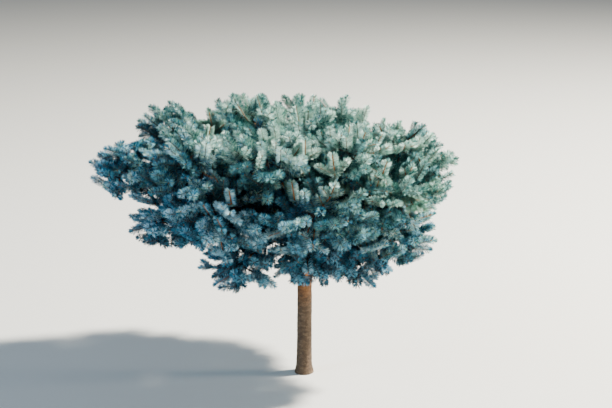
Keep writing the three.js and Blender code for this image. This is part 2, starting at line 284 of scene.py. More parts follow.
def scaly_bark(name, plate, stretch, seam_depth, grown, fresh, cracks, fresh_from, fresh_to):
    """Thin bark scales over darker seams, fresher and more orange towards the crown."""
    finish = Finish(name)
    place = finish.node("ShaderNodeTexCoord", {}, {}, output="Object")
    drawn_out = finish.node("ShaderNodeMapping", {}, {"Vector": place, "Scale": (1, 1, stretch)})
    seams = finish.node(
        "ShaderNodeTexVoronoi",
        {"feature": "DISTANCE_TO_EDGE"},
        {"Vector": drawn_out, "Scale": 1 / (plate * MM), "Randomness": 1.0},
    )
    patches = finish.noise(drawn_out, scale=60.0, detail=5.0, roughness=0.62)
    flecks = finish.noise(drawn_out, scale=420.0, detail=3.0, roughness=0.6)
    height = finish.node("ShaderNodeSeparateXYZ", {}, {"Vector": place}, output="Z")
    freshness = finish.node(
        "ShaderNodeMapRange",
        {"interpolation_type": "SMOOTHSTEP"},
        {"Value": height + (patches - 0.5) * FRESH_EDGE, "From Min": fresh_from, "From Max": fresh_to},
    )
    ramp = [(stop, paint(colour)) for stop, colour in zip(BARK_STOPS, grown)]
    grey = finish.node("ShaderNodeValToRGB", {"stops": ramp}, {"Fac": patches * 0.7 + flecks * 0.3})
    warm = finish.mixed(flecks, paint(fresh[0]), paint(fresh[1]))
    skin = finish.mixed(freshness * FRESH_MOST, grey, warm)
    open_seam = finish.node(
        "ShaderNodeMapRange",
        {},
        {"Value": seams, "From Min": 0.0, "From Max": SEAM_WIDTH, "To Min": 1.0, "To Max": 0.0},
    )
    coloured = finish.mixed(open_seam * seam_depth, skin, paint(cracks))
    bump = finish.node(
        "ShaderNodeBump",
        {},
        {"Strength": 0.55, "Distance": 0.0012, "Height": flecks * 0.5 + patches * 0.4 - open_seam * 0.6},
    )
    finish.surface(Base_Color=coloured, Roughness=0.78 + patches * 0.18, Normal=bump)
    finish.shader.inputs["Specular IOR Level"].default_value = 0.3
    return finish.material


trunk_bark = scaly_bark(
    "trunk_bark",
    plate=4.5,
    stretch=1.7,
    seam_depth=0.4,
    grown=("43372d", "5b4b3b", "7c6955"),
    fresh=("8c5226", "b27439"),
    cracks="43322a",
    fresh_from=0.19,
    fresh_to=0.35,
)
trunk.data.materials.append(trunk_bark)
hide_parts("trunk")
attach(trunk, "root")


# Masses. The crown is one low dome, and each mass of needles has its own room in it, walled off from the
# others. A tier gives a mass its half-size (outwards, across, up), and each mass has a bearing, a push
# outwards, a lift and a scale of its own. The solids were grown to the same sizes and places.
REACH = {"right": 445, "back": 455, "left": 600, "front": 470}
MASS_GAP = 3
INSIDE_MASS = 0.74
TIERS = [
    {
        "name": "belt",
        "height": 590,
        "share": 1.0,
        "size": (150, 180, 108),
        "rise": 14,
        "masses": [
            (2, 4, 32, 0.96),
            (318, -6, 6, 0.96),
            (276, -5, -12, 1),
            (232, 4, -14, 1),
            (187, 6, 36, 0.74),
            (150, 0, 10, 1),
            (100, 0, 0, 1),
            (47, 0, -26, 1),
        ],
    },
    {
        "name": "crest",
        "height": 728,
        "share": 0.6,
        "size": (126, 128, 88),
        "rise": 66,
        "masses": [
            (196, -58, 28, 1),
            (32, -50, 16, 0.82),
            (141, 0, -6, 1),
            (274, -26, 4, 1),
            (93, 30, -18, 1),
        ],
    },
    {
        "name": "shoulder",
        "height": 683,
        "share": 0.92,
        "size": (150, 175, 104),
        "rise": 44,
        "masses": [
            (338, -14, 20, 0.76),
            (297, -20, 2, 1),
            (252, -10, 4, 1),
            (214, -5, -8, 1),
            (172, -66, 52, 0.6),
            (124, 0, -10, 1),
            (72, 0, -40, 1),
        ],
    },
    {
        "name": "skirt",
        "height": 440,
        "share": 0.8,
        "size": (138, 136, 92),
        "rise": -10,
        "masses": [
            (350, 36, 2, 0.86),
            (312, -2, -26, 0.9),
            (272, -10, -4, 1),
            (232, -8, -28, 0.86),
            (200, 48, 60, 0.82),
            (150, 0, 20, 1),
            (95, 0, 0, 1),
            (35, 0, 0, 1),
        ],
    },
]
UP = np.array([0.0, 0.0, 1.0])


def heading(bearing, rise=0.0):
    turn, lift = math.radians(bearing), math.radians(rise)
    return np.array([math.cos(turn) * math.cos(lift), math.sin(turn) * math.cos(lift), math.sin(lift)])


def unit(vector):
    return vector / np.linalg.norm(vector)


def crown_reach(bearing):
    flat = heading(bearing)
    sideways = REACH["right"] if flat[0] > 0 else REACH["left"]
    backwards = REACH["back"] if flat[1] > 0 else REACH["front"]
    return 1 / math.hypot(flat[0] / sideways, flat[1] / backwards)


class Mass:
    """The room of one mass of needles, and the line along which its bough arrives."""

    def __init__(self, tier, number, bearing, push, lift, scale):
        self.tier = tier["name"]
        self.node = f"{self.tier}_needles_{number}"
        self.bough_node = f"{self.tier}_bough_{number}"
        self.bearing = bearing
        self.size = np.array(tier["size"]) * scale
        distance = crown_reach(bearing) * tier["share"] - self.size[0] + push
        self.centre = heading(bearing) * distance + UP * (tier["height"] + lift)
        self.aim = heading(bearing, tier["rise"])
        self.axes = np.array([heading(bearing), heading(bearing + 90), UP])

    def outline_at(self, direction):
        return 1 / np.linalg.norm(self.axes @ direction / self.size)

    def wall_off(self, others):
        self.normals = np.array([unit(other.centre - self.centre) for other in others])
        limits = []
        for other, normal in zip(others, self.normals):
            apart = np.linalg.norm(other.centre - self.centre)
            own, theirs = self.outline_at(normal), other.outline_at(normal)
            limits.append(self.centre @ normal + apart * own / (own + theirs) - MASS_GAP / 2)
        self.limits = np.array(limits)

    def keeps(self, points):
        return bool(np.all(np.asarray(points) @ self.normals.T <= self.limits))

    def room_ahead(self, point, direction):
        """How far a line can run from a point before it leaves the outline or meets a wall."""
        o = self.axes @ (point - self.centre) / self.size
        d = self.axes @ direction / self.size
        a, b, c = d @ d, o @ d, o @ o - 1
        inside = b * b - a * c
        room = (-b + math.sqrt(inside)) / a if inside > 0 else 0.0
        speeds = self.normals @ direction
        ahead = speeds > 0
        if ahead.any():
            room = min(room, float(np.min((self.limits - self.normals @ point)[ahead] / speeds[ahead])))
        return max(0.0, room)


masses = [Mass(tier, i + 1, *place) for tier in TIERS for i, place in enumerate(tier["masses"])]
for mass in masses:
    mass.wall_off([other for other in masses if other is not mass])
for mass in masses:
    room = min(mass.outline_at(-mass.aim), mass.room_ahead(mass.centre, -mass.aim))
    mass.tip = mass.centre - mass.aim * INSIDE_MASS * room


# Boughs. Eight main boughs leave the graft union all round, two leaders leave its top, and side boughs fork
# from them. Their bark is thinner and browner than the trunk's. Each runs on inside its mass as the stem of
# its twigs.
RING_HEIGHTS = (388, 410)
RING_RISE = 12
LEADERS = 2
LEADER_SPREAD = 8
LEADER_RISE = 80
SEATS = {"crest": 0.4, "shoulder": 0.44, "skirt": 0.24}
SEAT_STEP = 0.18
SEAT_LEAN = 0.55
MAIN_RADII = (10, 6)
SIDE_RADII = (6.4, 4.4)
COLLAR_SWELL = 0.45
COLLAR_FADE = 26
STEM_SPREAD = 56
STEM_INSIDE = 0.75
STEM_END_RADIUS = 2.2
BOUGH_POINTS = 34
STEM_POINTS = 10
LIMB_SIDES = 12


class Bough:
    """One limb: the curve that it follows, its thickness, and the mass that it carries."""

    def __init__(self, mass, root, leave, radii, parent=None):
        third = np.linalg.norm(mass.tip - root) / 3
        self.mass, self.radii, self.parent = mass, radii, parent
        self.points = np.array([root, root + leave * third, mass.tip - mass.aim * third, mass.tip])

    def at(self, share):
        s, t = 1 - share, share
        return np.array([s**3, 3 * s * s * t, 3 * s * t * t, t**3]) @ self.points

    def tangent(self, share):
        s, t = 1 - share, share
        return unit(np.array([s * s, 2 * s * t, t * t]) @ np.diff(self.points, axis=0))

    def radius(self, share):
        """An even taper, with a collar where the bough leaves its parent."""
        taper = self.radii[0] + (self.radii[1] - self.radii[0]) * share
        return taper * (1 + COLLAR_SWELL * math.exp(-share * COLLAR_FADE))


def turn_apart(a, b):
    return abs((a - b + 540) % 360 - 180)


def side_bough(mass, parents):
    parent = min(parents, key=lambda bough: turn_apart(bough.mass.bearing, mass.bearing))
    sisters = [b for b in boughs if b.parent is parent and b.mass.tier == mass.tier]
    seat = SEATS[mass.tier] + SEAT_STEP * len(sisters)
    root = parent.at(seat)
    leave = unit(parent.tangent(seat) * SEAT_LEAN + unit(mass.tip - root))
    return Bough(mass, root, leave, SIDE_RADII, parent)


tier_masses = {tier["name"]: [m for m in masses if m.tier == tier["name"]] for tier in TIERS}
boughs = []
for i, mass in enumerate(tier_masses["belt"]):
    root = trunk_centre(RING_HEIGHTS[i % 2])
    boughs.append(Bough(mass, root, heading(mass.bearing, RING_RISE), MAIN_RADII))
spreading = list(boughs)
for mass in tier_masses["crest"][:LEADERS]:
    root = trunk_centre(TRUNK_HEIGHT - DOME_HEIGHT) + heading(mass.bearing) * LEADER_SPREAD
    boughs.append(Bough(mass, root, heading(mass.bearing, LEADER_RISE), MAIN_RADII))
leaders = boughs[len(spreading) :]
for mass in tier_masses["crest"][LEADERS:]:
    boughs.append(side_bough(mass, leaders))
for mass in tier_masses["shoulder"] + tier_masses["skirt"]:
    boughs.append(side_bough(mass, spreading))


def stem_spread(mass):
    return min(STEM_SPREAD, STEM_INSIDE * mass.room_ahead(mass.centre, mass.aim))


def rod(name, points, radii):
    """A round limb through points in millimetres, closed at both ends."""
    line = bpy.data.curves.new(name, "CURVE")
    line.dimensions = "3D"
    line.bevel_depth = MM
    line.bevel_resolution = LIMB_SIDES // 4
    line.use_fill_caps = True
    path = line.splines.new("POLY")
    path.points.add(len(points) - 1)
    for place, point, radius in zip(path.points, points, radii):
        place.co = (*(point * MM), 1.0)
        place.radius = radius
    made = bpy.data.objects.new(name, line)
    bpy.context.collection.objects.link(made)
    return made


limbs = []
for bough in boughs:
    mass = bough.mass
    shares = np.linspace(0, 1, BOUGH_POINTS)
    end = mass.centre + mass.aim * stem_spread(mass)
    points = [bough.at(share) for share in shares]
    radii = [bough.radius(share) for share in shares]
    for share in np.linspace(1 / STEM_POINTS, 1, STEM_POINTS):
        points.append(mass.tip + (end - mass.tip) * share)
        radii.append(bough.radii[1] + (STEM_END_RADIUS - bough.radii[1]) * share)
    limbs.append(rod(mass.bough_node + "_limb", points, radii))
bpy.ops.object.select_all(action="DESELECT")
for limb in limbs:
    limb.select_set(True)
bpy.context.view_layer.objects.active = limbs[0]
bpy.ops.object.convert(target="MESH")
bpy.ops.object.join()
bough_wood = bpy.context.object
bough_wood.name = "bough_wood"
bpy.ops.object.mode_set(mode="EDIT")
bpy.ops.mesh.select_all(action="SELECT")
bpy.ops.mesh.remove_doubles(threshold=0.00001)
bpy.ops.mesh.normals_make_consistent(inside=False)
bpy.ops.object.mode_set(mode="OBJECT")
finer(bough_wood)
relief(bough_wood, "CLOUDS", middle=0.5, size=9, stretch=1, depth=1.1)
scales(bough_wood, size=4, stretch=1, depth=0.9)
bpy.ops.object.shade_smooth_by_angle(angle=BARK_CREASE)
bough_bark = scaly_bark(
    "bough_bark",
    plate=4,
    stretch=0.45,
    seam_depth=0.75,
    grown=("4d3b2f", "765a45", "9a7d64"),
    fresh=("8a5632", "b27a4c"),
    cracks="2b1c13",
    fresh_from=0.36,
    fresh_to=0.62,
)
bough_wood.data.materials.append(bough_bark)
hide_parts(*[bough.mass.bough_node for bough in boughs])
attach(bough_wood, "root")


# Sprays. Each mass carries flat sprays that stand all round its stem, those with most room first. The rule
# and the seeds are the solids' own, so each spray lies where its solid does.
SPRAY_TRIES = 60
SPRAY_LONGEST = 118
SPRAY_SHORTEST = 52
SPRAY_SHARE = 0.74
SPRAY_REACH = 0.985
SPRAY_RADIUS = 38
SPRAY_FULLER = 0.1
SPRAY_SIZES = (1, 0.88, 0.76)
SPRAY_CORE = 0.3
SPRAY_SPIKES = 3
SPRAY_RINGS = ((0.2, 0.38, 0.92), (0.54, 0.74, 0.84))
SPRAY_BARE = 0.3
SPRAY_APART = 55
SPRAY_CLEAR = 0.8
FORK_RADIUS = 2.8
FORK_START = 1.5
LIMB_STEPS = 4
LIMB_GAP = 1
UPRIGHT = 0.9
SEED = 800
SEED_STEP = 0x6D2B79F5
WORD = 0xFFFFFFFF


def seeded(seed):
    """The small generator that the solids were grown with."""
    state = seed

    def draw():
        nonlocal state
        state = (state + SEED_STEP) & WORD
        t = ((state ^ (state >> 15)) * (state | 1)) & WORD
        t ^= (t + (((t ^ (t >> 7)) * (t | 61)) & WORD)) & WORD
        return ((t ^ (t >> 14)) & WORD) / (WORD + 1)

    return draw


def frame_of(direction):
    guide = np.array([1.0, 0.0, 0.0]) if abs(direction[2]) > UPRIGHT else UP
    across = unit(guide - direction * (guide @ direction))
    return across, np.cross(direction, across)


def rays_round(mass, count, phase):
    """Directions spread evenly over a ball, from the aim of a mass round to the way back."""
    across, over = frame_of(mass.aim)
    for i in range(count):
        rise = 1 - 2 * (i + 0.5) / count
        turn = phase + i * math.pi * (3 - math.sqrt(5))
        out = math.sqrt(1 - rise * rise)
        yield mass.aim * rise + across * out * math.cos(turn) + over * out * math.sin(turn)


def line_gaps(start, end, starts, ends):
    """Least distances between one straight line and each of many others."""
    u, v, w = end - start, ends - starts, start - starts
    uu, uv, vv = u @ u, v @ u, np.sum(v * v, axis=1)
    uw, vw = w @ u, np.sum(v * w, axis=1)
    s = np.clip((uv * vw - vv * uw) / np.maximum(uu * vv - uv * uv, 1e-9), 0, 1)
    t = np.clip((uv * s + vw) / vv, 0, 1)
    s = np.clip((uv * t - uw) / uu, 0, 1)
    return np.linalg.norm(start + np.outer(s, u) - starts - t[:, None] * v, axis=1)


limb_starts = [trunk_centre(0)]
limb_ends = [trunk_centre(TRUNK_HEIGHT)]
limb_radii = [TRUNK_RADIUS - TRUNK_TAPER * UNION_HEIGHT / TRUNK_HEIGHT + UNION_SWELL]
for bough in boughs:
    for i in range(LIMB_STEPS):
        limb_starts.append(bough.at(i / LIMB_STEPS))
        limb_ends.append(bough.at((i + 1) / LIMB_STEPS))
        limb_radii.append(bough.radii[0])
limb_starts, limb_ends, limb_radii = np.array(limb_starts), np.array(limb_ends), np.array(limb_radii)


def clear_of_limbs(start, end, radius):
    return bool(np.all(line_gaps(start, end, limb_starts, limb_ends) > limb_radii + radius + LIMB_GAP))


def spray_points(base, direction, length, radius, turn):
    """The tip and the teeth of the toothed solid that stands for a spray."""
    across, over = frame_of(direction)
    points = [base + direction * length]
    for i, (core, spike, width) in enumerate(SPRAY_RINGS):
        for j in range(2 * SPRAY_SPIKES):
            stands_out = (j + i) % 2 == 0
            angle = turn + math.pi * j / SPRAY_SPIKES
            r = radius * (width if stands_out else SPRAY_CORE)
            centre = base + direction * length * (spike if stands_out else core)
            points.append(centre + across * r * math.cos(angle) + over * r * math.sin(angle))
    return points


def sprays_of(mass, draw):
    """The sprays of one mass, each as its fork on the stem, the base of its needles, and its tip."""
    phase = draw() * 2 * math.pi
    rays = [(ray, mass.room_ahead(mass.centre, ray)) for ray in rays_round(mass, SPRAY_TRIES, phase)]
    rays.sort(key=lambda entry: -entry[1])
    spread_out = stem_spread(mass)
    found, starts, ends = [], [], []
    for ray, room in rays:
        turn = draw() * math.pi
        tip = mass.centre + ray * room * SPRAY_REACH
        fork = mass.centre + mass.aim * spread_out * (ray @ mass.aim)
        direction = unit(tip - fork)
        distance = np.linalg.norm(tip - fork)
        for size in SPRAY_SIZES:
            length = min(SPRAY_LONGEST, distance * SPRAY_SHARE) * size
            if length < SPRAY_SHORTEST:
                break
            base = tip - direction * length
            radius = SPRAY_RADIUS * min(size, math.sqrt(length / SPRAY_LONGEST) + SPRAY_FULLER)
            needled = base + direction * length * SPRAY_BARE
            if not mass.keeps(spray_points(base, direction, length, radius, turn)):
                continue
            if not clear_of_limbs(needled, tip, radius * SPRAY_CLEAR):
                continue
            if not clear_of_limbs(fork + direction * FORK_START, needled, 2 * FORK_RADIUS):
                continue
            if found and np.min(line_gaps(needled, tip, np.array(starts), np.array(ends))) < SPRAY_APART:
                continue
            found.append((fork, base, tip))
            starts.append(needled)
            ends.append(tip)
            break
    return found


# Shoots. Each spray is a fan: a leader with pairs of shoots at its yearly joints, and each shoot is a round
# brush of needles. Leaders bend outwards and up, and a shoot that would crowd another is missing. Each bough
# ends in a leader of its own, and the crown keeps one shady hollow low in front.
GROWTH_FROM = 455
RAY_PULL = 0.55
SPRAY_BEND = 0.7
LIFTS = (0.02, 0.72)
LIFT_HEIGHTS = (400, 760)
SUNWARD = 0.6
JITTER = 0.34
TRUNKWARD = 0.45
YOUNG_SHOOT = 68
YOUNG_MOST = 0.52
OLDER_MOST = 0.9
OLDER_LEAST = 20
LENGTHS = (0.88, 1.08)
FAN_ROLL = 0.45
SIDE_ANGLE = 50
SIDE_ANGLE_SPREAD = 6
SIDE_RISE = 0.08
SIDE_RISE_SPREAD = 0.1
SIDE_SHARES = (0.84, 0.96, 0.84)
SIDE_CLEAR_FROM = 8
SIDE_CLEAR = 3
SIDE_NEEDLES = 4
JOINT_STEP = 33
JOINT_SLIP = 3
SHORTER = (1.0, 0.82, 0.66)
SHORTEST_SHOOT = 26
BRUSH_APART = 23
ROOT_PART = 0.15
OUTER_PART = 0.42
PAST_WALL = 24
NOTCH_FILL = 2.2
TIP_NEEDLES = 8
LEADER_FROM = 0.4
LEADER_LONGEST = 44
LEADER_SHORTEST = 6
HOLLOW = np.array([-112, -385, 628])
HOLLOW_SIZE = (105, 90, 30)
BARE_RADII = (2.2, 2.0)
OLDER_RADII = (2.0, 1.5)
YOUNG_RADII = (1.4, 0.8)
SIDE_SHOOT_RADII = (1.3, 0.8)
LEADER_RADII = (2.0, 1.0)
SHOWN_TWIGS = 0.28
SHOWN_STOUT = 1.5
SHOWN_BARK = 3
MOST_SHOOTS = 9000
rng = np.random.default_rng(4185)
shoots = []
twigs = []
shoot_starts = np.zeros((MOST_SHOOTS, 3))
shoot_ends = np.zeros((MOST_SHOOTS, 3))
mass_centres = np.array([mass.centre for mass in masses])
mass_frames = np.array([mass.axes / mass.size[:, None] for mass in masses])


def in_crown(point):
    """Whether a point lies in the outlines of the masses or between them, and not in the shady hollow."""
    places = np.einsum("mij,mj->mi", mass_frames, point - mass_centres)
    nearness = np.exp(NOTCH_FILL * (1 - np.sum(places * places, axis=1)))
    in_hollow = np.linalg.norm((point - HOLLOW) / HOLLOW_SIZE) < 1
    return bool(np.sum(nearness) >= 1 and not in_hollow)


def in_room(mass, point):
    """Whether a point lies in the crown and not far past the walls of its own mass."""
    return in_crown(point) and bool(np.all(mass.normals @ point <= mass.limits + PAST_WALL))


def growth_way(point, ray):
    """The way that growth turns at a point: away from the trunk, and upwards, most of all in the sun."""
    lift = UP * np.interp(point[2], LIFT_HEIGHTS, LIFTS) * (1 + SUNWARD * point[0] / REACH["right"])
    return unit(unit(point - UP * GROWTH_FROM) + ray * RAY_PULL + lift + rng.normal(0, JITTER, 3))


def upper_side(direction, point):
    """The side of a spray that faces the sky, or the trunk where the spray stands upright."""
    inwards = -unit(np.array([point[0], point[1], 1e-6]))
    guide = UP + inwards * TRUNKWARD
    return unit(guide - direction * (guide @ direction))


def uncrowded(start, end, apart, count):
    """Whether the outer part of a shoot stands clear of the first so many shoots."""
    outer = start + (end - start) * OUTER_PART
    return not count or np.min(line_gaps(outer, end, shoot_starts[:count], shoot_ends[:count])) > apart


class Shoot:
    """One year's growth along a line. Age 0 is this year's, and the draw from 0 to 1 sets its looks."""

    def __init__(self, mass, start, end, age, draw):
        self.mass, self.start, self.end, self.age, self.draw = mass, start, end, age, draw
        self.upper = upper_side(unit(end - start), end)


class Twig:
    """The wood of one length of growth, with the bark that its age gives it, or the orange bark of a fan that
    shows its twigs. The darker barks are partly painted shade.
    """

    def __init__(self, start, end, radii, bark, stout=1):
        first, last = radii[0] * stout, radii[1] * stout
        self.points = [start, (start + end) / 2, end]
        self.radii = [first, (first + last) / 2, last]
        self.bark = bark


def add_shoot(mass, start, end, age, draw):
    shoot_starts[len(shoots)] = start + (end - start) * ROOT_PART
    shoot_ends[len(shoots)] = end
    shoots.append(Shoot(mass, start, end, age, draw))


def add_side_shoots(mass, joint, direction, upper, wanted, age, draw, others):
    """A pair of shoots at one joint, each kept only where it doesn't crowd the shoots of other fans."""
    side = np.cross(direction, upper)
    bark = SHOWN_BARK if draw < SHOWN_TWIGS else age
    for hand in (-1, 1):
        lean = math.radians(SIDE_ANGLE + rng.normal(0, SIDE_ANGLE_SPREAD))
        rise = upper * rng.normal(SIDE_RISE, SIDE_RISE_SPREAD)
        way = unit(direction * math.cos(lean) + side * hand * math.sin(lean) + rise)
        start = joint + direction * rng.uniform(-JOINT_SLIP, JOINT_SLIP)
        longest = wanted * rng.uniform(*LENGTHS)
        for part in SHORTER:
            end = start + way * longest * part
            if longest * part < SHORTEST_SHOOT:
                break
            if not in_room(mass, end + way * SIDE_NEEDLES) or not uncrowded(start, end, BRUSH_APART, others):
                continue
            if clear_of_limbs(start + way * SIDE_CLEAR_FROM, end, SIDE_CLEAR):
                add_shoot(mass, start, end, age, draw)
                twigs.append(Twig(start, end, SIDE_SHOOT_RADII, bark))
                break


def add_fan(mass, fork, tip, way, length, draw, age=0):
    """A leader from a fork to a tip, with its side shoots: bare wood, last year's shoot, then this year's."""
    others = len(shoots)
    roll = rng.normal(0, FAN_ROLL)
    upper = upper_side(way, tip)
    upper = upper * math.cos(roll) + np.cross(way, upper) * math.sin(roll)
    young = min(YOUNG_SHOOT * rng.uniform(*LENGTHS), length * YOUNG_MOST)
    joint = tip - way * young
    back = unit(joint - fork)
    older = min(length - young, np.linalg.norm(joint - fork) * OLDER_MOST)
    base = joint - back * older
    shown = draw < SHOWN_TWIGS
    stout = SHOWN_STOUT if shown else 1
    twigs.append(Twig(fork, base, BARE_RADII, 2))
    twigs.append(Twig(base, joint, OLDER_RADII, SHOWN_BARK if shown else 1, stout))
    twigs.append(Twig(joint, tip, YOUNG_RADII, SHOWN_BARK if shown else 0, stout))
    add_shoot(mass, joint, tip, age, draw)
    if older > OLDER_LEAST:
        add_shoot(mass, base, joint, max(age, 1), draw)
    for step, share in enumerate(SIDE_SHARES):
        behind = step * JOINT_STEP
        if behind <= older:
            seat = joint - back * behind
            forward = way if step == 0 else back
            grown = max(age, 1) if step == len(SIDE_SHARES) - 1 else age
            add_side_shoots(mass, seat, forward, upper, young * share, grown, draw, others)


for index, mass in enumerate(masses):
    for fork, base, tip in sprays_of(mass, seeded(SEED + index)):
        straight = unit(tip - base)
        way = unit(straight + growth_way(tip, straight) * SPRAY_BEND)
        add_fan(mass, fork, tip - way * TIP_NEEDLES, way, np.linalg.norm(tip - base), rng.random())
for mass in masses:
    stem_end = mass.centre + mass.aim * stem_spread(mass)
    room = mass.room_ahead(stem_end, mass.aim) - TIP_NEEDLES
    tip = stem_end + mass.aim * min(LEADER_LONGEST, max(LEADER_SHORTEST, room))
    twigs.append(Twig(stem_end, tip, LEADER_RADII, 1))
    add_shoot(mass, mass.centre + mass.aim * stem_spread(mass) * LEADER_FROM, tip, 0, rng.random())


# Filling sprays. Shorter fans stand between the long ones, wherever there is room for one more brush: the
# outermost first, then those in their shade. A layer gives the share of the reach at which its tips lie, the
# age of its shoots, and how far apart they stand. The deeper layers are given older ages, so their needles
# take darker colours, which is partly painted shade.
FILL_RAYS = 300
FILL_LAYERS = ((1.0, 0, 33), (0.88, 1, 27), (0.75, 1, 21), (0.6, 2, 18), (0.4, 2, 18))
FILL_LENGTH = 132
FILL_SHORTER = (0.8, 1.0)
FILL_NEEDLES = 7
FILL_CLEAR = 6
for depth, age, apart in FILL_LAYERS:
    for mass in masses:
        phase = rng.random() * 2 * math.pi
        spread_out = stem_spread(mass)
        for ray in rays_round(mass, FILL_RAYS, phase):
            tip = mass.centre + ray * mass.room_ahead(mass.centre, ray) * depth * rng.uniform(*LENGTHS)
            way = growth_way(tip, ray)
            joint = tip - way * YOUNG_SHOOT
            fork = mass.centre + mass.aim * spread_out * (ray @ mass.aim)
            if not in_crown(tip + way * FILL_NEEDLES) or not in_crown(joint):
                continue
            if uncrowded(joint, tip, apart, len(shoots)) and clear_of_limbs(joint, tip, FILL_CLEAR):
                add_fan(mass, fork, tip, way, FILL_LENGTH * rng.uniform(*FILL_SHORTER), rng.random(), age)


# Inner shoots. Older shoots stand all round the outer part of each bough, and fill the shade behind the
# sprays. Their needles take the darkest colours, partly the dull colour of old needles and partly painted
# shade.
INNER_FROM = 0.14
INNER_STEP = 9
INNER_PLACES = (0.2, 0.8)
INNER_ROUND = 3
INNER_FORWARD = 0.5
INNER_LENGTHS = (52, 92)
INNER_APART = 12
INNER_CLEAR_FROM = 24
INNER_CLEAR = 6
INNER_NEEDLES = 12
INNER_LOWEST = 415
INNER_RADII = (1.7, 1.0)
for bough in boughs:
    run = np.linalg.norm(bough.points[3] - bough.points[0])
    count = max(1, int(run * (1 - INNER_FROM) / INNER_STEP))
    middle_out = np.linalg.norm(bough.mass.centre[:2])
    for i in range(count):
        share = INNER_FROM + (1 - INNER_FROM) * (i + rng.uniform(*INNER_PLACES)) / count
        joint, direction = bough.at(share), bough.tangent(share)
        across, over = frame_of(direction)
        phase = rng.random() * 2 * math.pi
        for j in range(INNER_ROUND):
            turn = phase + 2 * math.pi * j / INNER_ROUND
            way = unit(direction * INNER_FORWARD + across * math.cos(turn) + over * math.sin(turn))
            end = joint + way * rng.uniform(*INNER_LENGTHS)
            gaps = line_gaps(joint + way * INNER_CLEAR_FROM, end, limb_starts, limb_ends) - limb_radii
            within = np.linalg.norm(end[:2]) < middle_out and end[2] > INNER_LOWEST
            if np.min(gaps) < INNER_CLEAR or not uncrowded(joint, end, INNER_APART, len(shoots)):
                continue
            if not within and not in_crown(end + way * INNER_NEEDLES):
                continue
            twigs.append(Twig(joint, end, INNER_RADII, 2))
            add_shoot(bough.mass, joint + way * bough.radii[1], end, 2, rng.random())


# Twigs. Spruce twigs are thin and smooth. The twigs of a fan whose needles part to show them are
# orange-brown. The others are grey-brown to dark by age, colours that are partly their own and partly painted
# shade from the needles over them.
TWIG_SIDES = 4
TWIG_COLOURS_AND_SHADE = ("6e6152", "564a3f", "352b25", "a66f42")


def joined(name, corners, faces, finishes, finish_of_face):
    """One mesh from arrays of corners in millimetres and of three-sided faces."""
    mesh = bpy.data.meshes.new(name)
    mesh.vertices.add(len(corners))
    mesh.vertices.foreach_set("co", (corners * MM).astype(np.float32).ravel())
    mesh.loops.add(faces.size)
    mesh.loops.foreach_set("vertex_index", faces.astype(np.int32).ravel())
    mesh.polygons.add(len(faces))
    mesh.polygons.foreach_set("loop_start", np.arange(0, faces.size, 3, dtype=np.int32))
    for finish in finishes:
        mesh.materials.append(finish)
    mesh.polygons.foreach_set("material_index", finish_of_face.astype(np.int32))
    mesh.update()
    mesh.validate()
    piece = bpy.data.objects.new(name, mesh)
    bpy.context.collection.objects.link(piece)
    return piece


def plain_finish(name, colour, roughness, sheen=0.0):
    finish = Finish(name)
    finish.surface(Base_Color=paint(colour), Roughness=roughness)
    finish.shader.inputs["Specular IOR Level"].default_value = 0.22
    finish.shader.inputs["Sheen Weight"].default_value = sheen
    finish.shader.inputs["Sheen Roughness"].default_value = 0.5
    return finish.material


def units(vectors):
    return vectors / np.linalg.norm(vectors, axis=1, keepdims=True)


def circles(directions, sides):
    """For each of many directions, the corners of a circle of radius one that stands square to it."""
    guides = np.where(np.abs(directions[:, 2:3]) > UPRIGHT, [[1.0, 0.0, 0.0]], [[0.0, 0.0, 1.0]])
    across = units(guides - directions * np.sum(guides * directions, axis=1, keepdims=True))
    over = np.cross(directions, across)
    turns = 2 * np.pi * np.arange(sides) / sides
    return across[:, None] * np.cos(turns)[None, :, None] + over[:, None] * np.sin(turns)[None, :, None]


lines = np.array([twig.points for twig in twigs])
thickness = np.array([twig.radii for twig in twigs])
barks = np.array([twig.bark for twig in twigs])
round_twig = circles(units(lines[:, 2] - lines[:, 0]), TWIG_SIDES)
rings = lines[:, :, None, :] + round_twig[:, None, :, :] * thickness[:, :, None, None]
pattern = []
for ring in range(2):
    low, high = ring * TWIG_SIDES, (ring + 1) * TWIG_SIDES
    for j in range(TWIG_SIDES):
        k = (j + 1) % TWIG_SIDES
        pattern += [(low + j, low + k, high + k), (low + j, high + k, high + j)]
for j in range(1, TWIG_SIDES - 1):
    pattern += [(0, j + 1, j), (2 * TWIG_SIDES, 2 * TWIG_SIDES + j, 2 * TWIG_SIDES + j + 1)]
faces = np.arange(len(twigs))[:, None, None] * 3 * TWIG_SIDES + np.array(pattern)[None]
twig_bark_and_shade = [plain_finish(f"twig_bark_{i + 1}", colour, 0.62) for i, colour in enumerate(TWIG_COLOURS_AND_SHADE)]
bark_of_face = np.repeat(barks, len(pattern))
twig_wood = joined("twig_wood", rings.reshape(-1, 3), faces.reshape(-1, 3), twig_bark_and_shade, bark_of_face)
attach(twig_wood, "root")


# Needles. Stiff blue needles, frosted with wax, stand out all round a shoot and close over its bud. On twigs
# that show, they part above and below. Each is a blade of two faces, folded along its keel. Their colours
# carry painted light, needle by needle: paler, greener lit colours on the side of the sun, from the right and
# from above, and bluer, darker shaded colours away from it.
NEEDLES_PER_MM = (3.6, 2.5, 1.3)
FEWEST_NEEDLES = 6
NEEDLE_PLACES = (0.1, 0.9)
NEEDLE_LENGTH = (17.0, 16.5, 17.0)
NEEDLE_WIDTH = 2.9
NEEDLE_MIDDLE = 0.7
NEEDLE_BOW = 1.2
NEEDLE_FACES = np.array([(0, 1, 2), (1, 0, 3)])
NEEDLE_SPAN = math.radians(162)
SHOWN_SPAN = math.radians(128)
PARTING = math.radians(40)
TURN_SPREAD = 0.08
NEEDLE_LEAN = 64
TIP_LEAN = 46
LEAN_SPREAD = 5
UPWARD = 0.1
TIP_SHARE = 0.07
